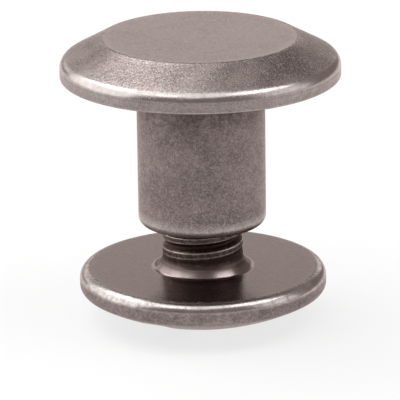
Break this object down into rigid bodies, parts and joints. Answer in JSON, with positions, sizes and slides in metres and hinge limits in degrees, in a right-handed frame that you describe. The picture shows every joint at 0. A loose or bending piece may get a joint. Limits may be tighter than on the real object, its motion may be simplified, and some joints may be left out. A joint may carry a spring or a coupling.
{
  "type": "binding barrel screw",
  "caption": "Binding screw post: a bevelled flat-top head on a threaded barrel, and a domed screw with a slot and cross recess that turns into it.",
  "frame": {"origin": "crown of the screw's domed head, on the common axis, where the pair stands", "axes": "+Z along the common axis, from the screw's crown up to the barrel nut's flat top; the drive slot runs 61 degrees round from +X"},
  "size_m": [0.0142, 0.0142, 0.0149],
  "materials": {
    "antique_nickel": "tumbled antique nickel plating on steel, satin, with a fine bright and dark speckle"
  },
  "bodies": {
    "screw": {"screw": "antique_nickel"},
    "barrel_nut": {"barrel_nut": "antique_nickel"}
  },
  "joints": [
    {"name": "thread_travel", "type": "slide", "parent": "screw", "child": "barrel_nut", "axis": [0, 0, 1], "range_m": [-0.00238, 0.00635]}
  ]
}
